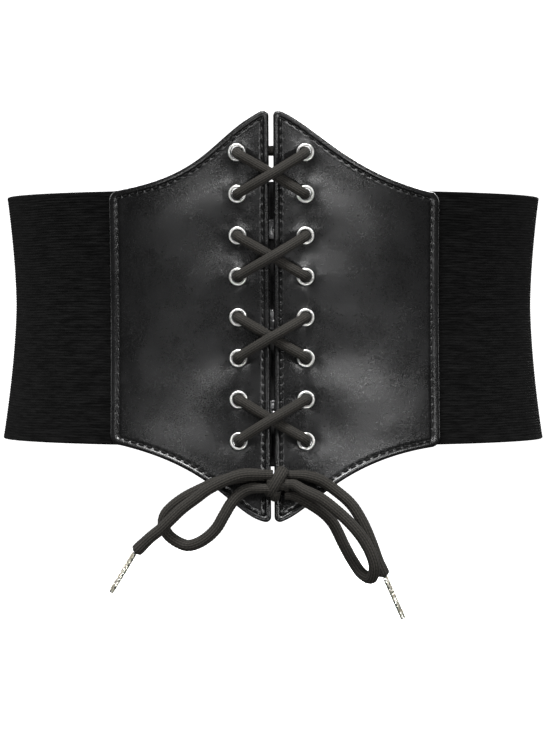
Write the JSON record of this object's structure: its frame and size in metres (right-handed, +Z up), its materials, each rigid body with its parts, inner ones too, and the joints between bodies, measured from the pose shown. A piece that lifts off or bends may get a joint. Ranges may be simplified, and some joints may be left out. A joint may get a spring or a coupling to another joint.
{
  "type": "corset belt",
  "caption": "Wide lace-up waist belt with two pointed faux-leather front panels, metal eyelets, a laced front tied in a bow, and an elastic back.",
  "frame": {"origin": "centre of the waist hollow, at the middle of the elastic band's height", "axes": "+X to the right across the front as it is seen, -Y out of the laced front, +Z up along the body"},
  "size_m": [0.2814, 0.2182, 0.2464],
  "materials": {
    "leather": "satin, fine pebbled grain",
    "elastic": "matte, ribbed",
    "placket": "matte",
    "lace": "matte, braided",
    "metal": "polished nickel"
  },
  "bodies": {
    "root": {"elastic_band": "elastic", "panel_left": "leather", "panel_right": "leather", "placket_left": "placket", "placket_right": "placket", "lacing": "lace", "bow_knot": "lace", "bow_loop_left": "lace", "bow_loop_right": "lace", "bow_tail_left": "lace", "bow_tail_right": "lace", "aglet_left": "metal", "aglet_right": "metal", "eyelet_left_1": "metal", "eyelet_left_2": "metal", "eyelet_left_3": "metal", "eyelet_left_4": "metal", "eyelet_left_5": "metal", "eyelet_left_6": "metal", "eyelet_left_7": "metal", "eyelet_left_8": "metal", "eyelet_right_1": "metal", "eyelet_right_2": "metal", "eyelet_right_3": "metal", "eyelet_right_4": "metal", "eyelet_right_5": "metal", "eyelet_right_6": "metal", "eyelet_right_7": "metal", "eyelet_right_8": "metal", "snap_1": "metal", "snap_2": "metal", "snap_3": "metal"}
  },
  "joints": []
}
